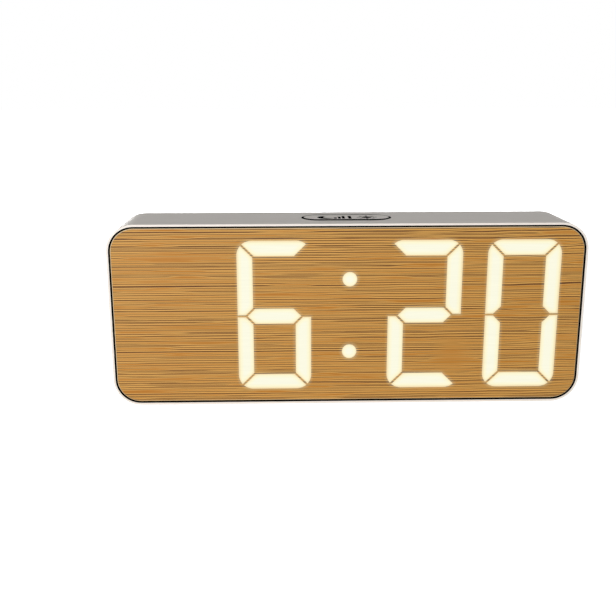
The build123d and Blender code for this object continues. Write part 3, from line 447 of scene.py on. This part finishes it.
dress(moulded_plastic("black_switch_nylon", "#1A1A1B", "#262628", roughness=0.5, grain=0.2 * mm, relief=0.004 * mm),
      "snooze_switch", "set_key_switch", "down_key_switch", "up_key_switch", "alarm_key_switch", "alarm_switch")
dress(moulded_plastic("switch_plunger_acetal", "#2B2B2E", "#343438", roughness=0.35, grain=0.2 * mm, relief=0.003 * mm),
      "snooze_switch_plunger", "set_key_plunger", "down_key_plunger", "up_key_plunger", "alarm_key_plunger")


# Bare metal parts: zinc-plated pan-head screws, the nickel-plated crystal can and battery contacts,
# and the tinned steel shell of the power inlet. Plating keeps the fine lines of rolling and pressing.
def plated_metal(name, colour, dull, roughness, line):
    """Plated sheet or wire: a slow change of shade and fine lines of that pitch that break up the gloss."""
    material, tree, shader = new_material(name)
    place = add_node(tree, "ShaderNodeTexCoord", output="Object")
    clouds = add_node(tree, "ShaderNodeTexNoise", {"Vector": place, "Scale": 1 / (4 * mm), "Detail": 3.0})
    shade = add_node(tree, "ShaderNodeMix", {"Factor": clouds, "A": from_hex(colour), "B": from_hex(dull)},
                     data_type="RGBA")
    lines = streaks(tree, place, length=3 * mm, pitch=line)
    gloss = add_node(tree, "ShaderNodeMapRange", {"Value": lines, "To Min": roughness - 0.08,
                                                  "To Max": roughness + 0.10})
    bump = add_node(tree, "ShaderNodeBump", {"Height": lines, "Distance": 0.002 * mm})
    add_node(tree, None, {"Base Color": shade, "Metallic": 1.0, "Roughness": gloss, "Normal": bump}, node=shader)
    return material


dress(plated_metal("zinc_plated_steel", "#C9CCCF", "#A9ADB2", roughness=0.32, line=0.12 * mm),
      "display_board_screws", "rear_cover_screws", "main_board_screws", "snooze_board_screws")
dress(plated_metal("drawn_nickel_can", "#CFCBC2", "#B9B4A8", roughness=0.22, line=0.15 * mm), "timing_crystal")
dress(plated_metal("nickel_plated_spring_steel", "#D2CEC6", "#B4AFA4", roughness=0.25, line=0.10 * mm),
      "battery_contacts_left", "battery_contacts_right")
dress(plated_metal("tinned_steel_shell", "#CDD0D2", "#B2B6B9", roughness=0.28, line=0.12 * mm), "usb_socket_shell")


# Wires inside: stranded copper in soft PVC, red and black to the battery contacts and white to the
# snooze switch's board.
for name, shade, deeper, node in (("red_pvc_lead", "#B3231E", "#8F1A17", "battery_lead_red"),
                                  ("black_pvc_lead", "#161616", "#222222", "battery_lead_black"),
                                  ("white_pvc_lead", "#E8E6E0", "#D8D5CC", "snooze_lead")):
    dress(moulded_plastic(name, shade, deeper, roughness=0.4, grain=0.5 * mm, relief=0.004 * mm, cloud=3 * mm), node)


# Snooze key: white ABS with the case's satin skin, an oval that rests on the plunger of its switch. An outline and
# plain signs are pad-printed on it in black: a moon and bars for the alarm's rest, a stroke, and a sun for the
# brightness of the figures. Round it the case is drawn in the same black without gloss, as painted shade of the narrow
# gap.
printed_key = moulded_plastic("printed_satin_abs", "#F5EEE6", "#EFE7DE", roughness=0.5, grain=0.35 * mm,
                              relief=0.004 * mm)
outline_inner_length = 14.75 * mm
outline_inner_width = 4.9 * mm
outline_shift = 0.35 * mm
mark_edge = 0.05 * mm
print_and_shade_black = "#0B0A0A"
key_print_z = 63.7 * mm
opening_half_length = 15.6 * mm
opening_half_width = 6.65 * mm
opening_line = 0.06 * mm
opening_floor_z = 61.9 * mm
tree = printed_key.node_tree
place = add_node(tree, "ShaderNodeTexCoord", output="Object")
flat = add_node(tree, "ShaderNodeVectorMath", {0: place, 1: (1, 1, 0)}, operation="MULTIPLY")


def print_and_shade_over(material, mark_inside, level, face, shade):
    """Matt colour of that shade over a moulding, where the distance mark_inside is above zero and the level past the
    face: print, and painted shade round the key's hole in the case.
    """
    tree, shader = inside_of(material)
    drawn = add_node(tree, "ShaderNodeMapRange", {"Value": mark_inside, "From Min": -mark_edge, "From Max": mark_edge})
    on_face = add_node(tree, "ShaderNodeMath", {0: level, 1: face}, operation="GREATER_THAN")
    printed = add_node(tree, "ShaderNodeMath", {0: drawn, 1: on_face}, operation="MULTIPLY")
    bare = shader.inputs["Base Color"].links[0].from_socket
    inked = add_node(tree, "ShaderNodeMix", {"Factor": printed, "A": bare, "B": from_hex(shade)}, data_type="RGBA")
    sheen_left = add_node(tree, "ShaderNodeMapRange", {"Value": printed, "To Min": 0.5, "To Max": 0.0})
    add_node(tree, None, {"Base Color": inked, "Specular IOR Level": sheen_left}, node=shader)


def disc(tree, flat, x, y, radius):
    """Distance from the edge of a disc, above zero inside it."""
    away = add_node(tree, "ShaderNodeVectorMath", {0: flat, 1: (x, y, 0)}, operation="DISTANCE")
    return add_node(tree, "ShaderNodeMath", {0: radius, 1: away}, operation="SUBTRACT")


def bar(tree, flat, x, y, half_x, half_y, turn=0.0):
    """Distance from the edge of a bar, above zero inside it, turned about its own middle by that angle."""
    level = add_node(tree, "ShaderNodeMapping", {"Vector": flat, "Location": (x, y, 0), "Rotation": (0, 0, turn),
                                                 "Scale": (1, 1, 1)}, vector_type="TEXTURE")
    apart = add_node(tree, "ShaderNodeVectorMath", {0: level}, operation="ABSOLUTE")
    inside = add_node(tree, "ShaderNodeVectorMath", {0: (half_x, half_y, 0), 1: apart}, operation="SUBTRACT")
    sides = add_node(tree, "ShaderNodeSeparateXYZ", {"Vector": inside})
    return add_node(tree, "ShaderNodeMath", {0: sides, 1: sides.node.outputs["Y"]}, operation="MINIMUM")


def past_oval(tree, flat, half_length, half_width):
    """Distance from the edge of an oval along x, above zero outside it."""
    spine = add_node(tree, "ShaderNodeVectorMath", {0: flat}, operation="ABSOLUTE")
    past = add_node(tree, "ShaderNodeVectorMath", {0: spine, 1: (half_length - half_width, 0, 0)},
                    operation="SUBTRACT")
    round_end = add_node(tree, "ShaderNodeVectorMath", {0: past, 1: (0, 0, 0)}, operation="MAXIMUM")
    from_spine = add_node(tree, "ShaderNodeVectorMath", {0: round_end}, operation="LENGTH")
    return add_node(tree, "ShaderNodeMath", {0: from_spine, 1: half_width}, operation="SUBTRACT")


inner = add_node(tree, "ShaderNodeVectorMath", {0: flat, 1: (0, outline_shift, 0)}, operation="ADD")
outline = past_oval(tree, inner, outline_inner_length, outline_inner_width)
signs_y = -1.1 * mm
moon_x = -7.0 * mm
moon_bite = 1.4 * mm
stroke_x = 1.1 * mm
tallest_bar = 3.0 * mm
sun_x = 7.0 * mm
ray_reach = 2.85 * mm
sun_rays = 8
bitten = disc(tree, flat, moon_x + moon_bite, signs_y + 0.8 * mm, radius=2.4 * mm)
bite = add_node(tree, "ShaderNodeMath", {0: bitten, 1: -1.0}, operation="MULTIPLY")
moon = add_node(tree, "ShaderNodeMath", {0: disc(tree, flat, moon_x, signs_y, radius=3.1 * mm), 1: bite},
                operation="MINIMUM")
signs = [moon, bar(tree, flat, stroke_x, signs_y, half_x=0.55 * mm, half_y=3.3 * mm),
         disc(tree, flat, sun_x, signs_y, radius=1.7 * mm)]
for x, half_y in ((-3.9 * mm, 1.4 * mm), (-2.5 * mm, 2.2 * mm), (-1.1 * mm, tallest_bar)):
    signs.append(bar(tree, flat, x, signs_y + half_y - tallest_bar, half_x=0.48 * mm, half_y=half_y))
for ray in range(sun_rays):
    turn = ray * 2 * math.pi / sun_rays
    signs.append(bar(tree, flat, sun_x + ray_reach * math.cos(turn), signs_y + ray_reach * math.sin(turn),
                     half_x=0.65 * mm, half_y=0.38 * mm, turn=turn))
mark_inside = largest(tree, outline, *signs)
height = add_node(tree, "ShaderNodeSeparateXYZ", {"Vector": place}, output="Z")
print_and_shade_over(printed_key, mark_inside, height, key_print_z, print_and_shade_black)
dress(printed_key, "snooze_key")

# Painted shade: a thin matt black line on the case round the key's hole stands for the dark of the narrow gap.
tree = white_abs.node_tree
place = add_node(tree, "ShaderNodeTexCoord", output="Object")
flat = add_node(tree, "ShaderNodeVectorMath", {0: place, 1: (1, 1, 0)}, operation="MULTIPLY")
past_opening = past_oval(tree, flat, opening_half_length + opening_line, opening_half_width + opening_line)
opening = add_node(tree, "ShaderNodeMath", {0: past_opening, 1: -1.0}, operation="MULTIPLY")
height = add_node(tree, "ShaderNodeSeparateXYZ", {"Vector": place}, output="Z")
print_and_shade_over(white_abs, opening, height, opening_floor_z, print_and_shade_black)


# Battery door: white ABS like the rear cover, with its coarse spark-eroded texture, which hides
# scratches and fingerprints.
dress(moulded_plastic("textured_white_abs", "#F1EEE9", "#E9E5DF", roughness=0.6, grain=0.5 * mm, relief=0.02 * mm),
      "battery_door")


# Rear cover: white ABS in the same texture. Signs are pad-printed on it in grey: over the four keys a
# clock face, two arrows and a bell, round the slide switch a ring and a stroke for off and on, and over
# the inlet the sign for direct current.
cover_abs = moulded_plastic("printed_textured_abs", "#F1EEE9", "#E9E5DF", roughness=0.6, grain=0.5 * mm,
                            relief=0.02 * mm)
sign_z = 47.6 * mm
set_x = 15.3 * mm
down_x = 26.3 * mm
up_x = 37.3 * mm
bell_x = 48.3 * mm
switch_z = 19.25 * mm
off_x = 37.4 * mm
on_x = 48.2 * mm
inlet_x = 20.8 * mm
sign_stroke = 0.22 * mm
cover_print_y = 13.3 * mm
tree = cover_abs.node_tree
place = add_node(tree, "ShaderNodeTexCoord", output="Object")
sides = add_node(tree, "ShaderNodeSeparateXYZ", {"Vector": place})
flat = add_node(tree, "ShaderNodeCombineXYZ", {"X": sides, "Y": sides.node.outputs["Z"]})


def ring(tree, flat, x, y, radius, half_stroke):
    """Distance from the edge of a ring of that middle radius, above zero inside its stroke."""
    away = add_node(tree, "ShaderNodeVectorMath", {0: flat, 1: (x, y, 0)}, operation="DISTANCE")
    off = add_node(tree, "ShaderNodeMath", {0: away, 1: radius}, operation="SUBTRACT")
    apart = add_node(tree, "ShaderNodeMath", {0: off}, operation="ABSOLUTE")
    return add_node(tree, "ShaderNodeMath", {0: half_stroke, 1: apart}, operation="SUBTRACT")


def arrow(tree, flat, x, y, reach, way):
    """Distance from the edges of an arrowhead that points up or down, above zero inside it."""
    centred = add_node(tree, "ShaderNodeVectorMath", {0: flat, 1: (x, y, 0)}, operation="SUBTRACT")
    apart = add_node(tree, "ShaderNodeVectorMath", {0: centred, 1: (1, way, 0)}, operation="MULTIPLY")
    mirrored = add_node(tree, "ShaderNodeVectorMath", {0: apart}, operation="ABSOLUTE")
    half = add_node(tree, "ShaderNodeSeparateXYZ", {"Vector": mirrored})
    rise = add_node(tree, "ShaderNodeSeparateXYZ", {"Vector": apart}, output="Y")
    slope = add_node(tree, "ShaderNodeMath", {0: half, 1: 1.7, 2: rise}, operation="MULTIPLY_ADD")
    side = add_node(tree, "ShaderNodeMath", {0: reach, 1: slope}, operation="SUBTRACT")
    foot = add_node(tree, "ShaderNodeMath", {0: rise, 1: reach * 0.8}, operation="ADD")
    return add_node(tree, "ShaderNodeMath", {0: side, 1: foot}, operation="MINIMUM")


clock_face = [ring(tree, flat, set_x, sign_z, radius=1.5 * mm, half_stroke=sign_stroke),
              bar(tree, flat, set_x, sign_z + 0.45 * mm, half_x=sign_stroke, half_y=0.65 * mm),
              bar(tree, flat, set_x + 0.4 * mm, sign_z, half_x=0.6 * mm, half_y=sign_stroke)]
arrows = [arrow(tree, flat, down_x, sign_z, reach=1.5 * mm, way=-1),
          arrow(tree, flat, up_x, sign_z, reach=1.5 * mm, way=1)]
bell = [disc(tree, flat, bell_x, sign_z + 0.3 * mm, radius=1.2 * mm),
        bar(tree, flat, bell_x, sign_z - 0.4 * mm, half_x=1.2 * mm, half_y=0.7 * mm),
        bar(tree, flat, bell_x, sign_z - 1.1 * mm, half_x=1.75 * mm, half_y=0.25 * mm),
        disc(tree, flat, bell_x, sign_z - 1.55 * mm, radius=0.45 * mm)]
off_and_on = [ring(tree, flat, off_x, switch_z, radius=0.9 * mm, half_stroke=sign_stroke),
              bar(tree, flat, on_x, switch_z, half_x=sign_stroke, half_y=1.1 * mm)]
direct_current = [bar(tree, flat, inlet_x, switch_z + 6.6 * mm, half_x=1.7 * mm, half_y=sign_stroke)]
direct_current += [bar(tree, flat, inlet_x + step, switch_z + 5.7 * mm, half_x=0.4 * mm, half_y=sign_stroke)
                   for step in (-1.3 * mm, 0, 1.3 * mm)]
signs = clock_face + arrows + bell + off_and_on + direct_current
print_and_shade_over(cover_abs, largest(tree, *signs), sides.node.outputs["Y"], cover_print_y, "#6F6C69")
dress(cover_abs, "rear_cover")


# Rear keys and slide lever: white ABS from polished tools, so they feel smooth and shine more than the
# cover around them.
dress(moulded_plastic("smooth_white_abs", "#F4F1ED", "#EEEAE5", roughness=0.38, grain=0.5 * mm, relief=0.002 * mm),
      "set_key", "down_key", "up_key", "alarm_key", "alarm_switch_lever")


# Cells: three AAA cells, each a drawn can of nickel-plated steel in a shrunk printed sleeve, dark with a
# pale band towards the positive end. The bare steel shows at both tips, and neighbours lie head to foot.
nickel_steel = "#CFCBC3"
sleeve_start = 0.7 * mm
band_start = 33.0 * mm
band_end = 37.5 * mm
sleeve_end = 42.9 * mm
for i, facing in enumerate((1, -1, 1), start=1):
    jacket = moulded_plastic(f"printed_cell_sleeve_{i}", "#1F2A3A", "#243246", roughness=0.3, grain=0.8 * mm,
                             relief=0.003 * mm)
    tree, shader = inside_of(jacket)
    low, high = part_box(f"battery_cell_{i}")
    foot_x = low[0] if facing > 0 else high[0]
    x = add_node(tree, "ShaderNodeSeparateXYZ", {"Vector": add_node(tree, "ShaderNodeTexCoord", output="Object")})
    along = add_node(tree, "ShaderNodeMath", {0: x, 1: facing, 2: -foot_x * facing}, operation="MULTIPLY_ADD")
    band = add_node(tree, "ShaderNodeMath", {0: along, 1: (band_start + band_end) / 2, 2: (band_end - band_start) / 2},
                    operation="COMPARE")
    sleeve = add_node(tree, "ShaderNodeMath", {0: along, 1: (sleeve_start + sleeve_end) / 2,
                                               2: (sleeve_end - sleeve_start) / 2}, operation="COMPARE")
    printed = shader.inputs["Base Color"].links[0].from_socket
    banded = add_node(tree, "ShaderNodeMix", {"Factor": band, "A": printed, "B": from_hex("#C9CDD0")},
                      data_type="RGBA")
    shade = add_node(tree, "ShaderNodeMix", {"Factor": sleeve, "A": from_hex(nickel_steel), "B": banded},
                     data_type="RGBA")
    bare = add_node(tree, "ShaderNodeMath", {0: 1.0, 1: sleeve}, operation="SUBTRACT")
    add_node(tree, None, {"Base Color": shade, "Metallic": bare}, node=shader)
    dress(jacket, f"battery_cell_{i}")


# Feet: four round pads, die-cut from soft black rubber with their own adhesive and pressed into shallow
# wells of the floor. Talc from the mould leaves them dull.
dress(moulded_plastic("soft_black_rubber", "#1C1C1C", "#262625", roughness=0.75, grain=0.3 * mm, relief=0.02 * mm),
      "foot_pad_front_left", "foot_pad_front_right", "foot_pad_rear_left", "foot_pad_rear_right")
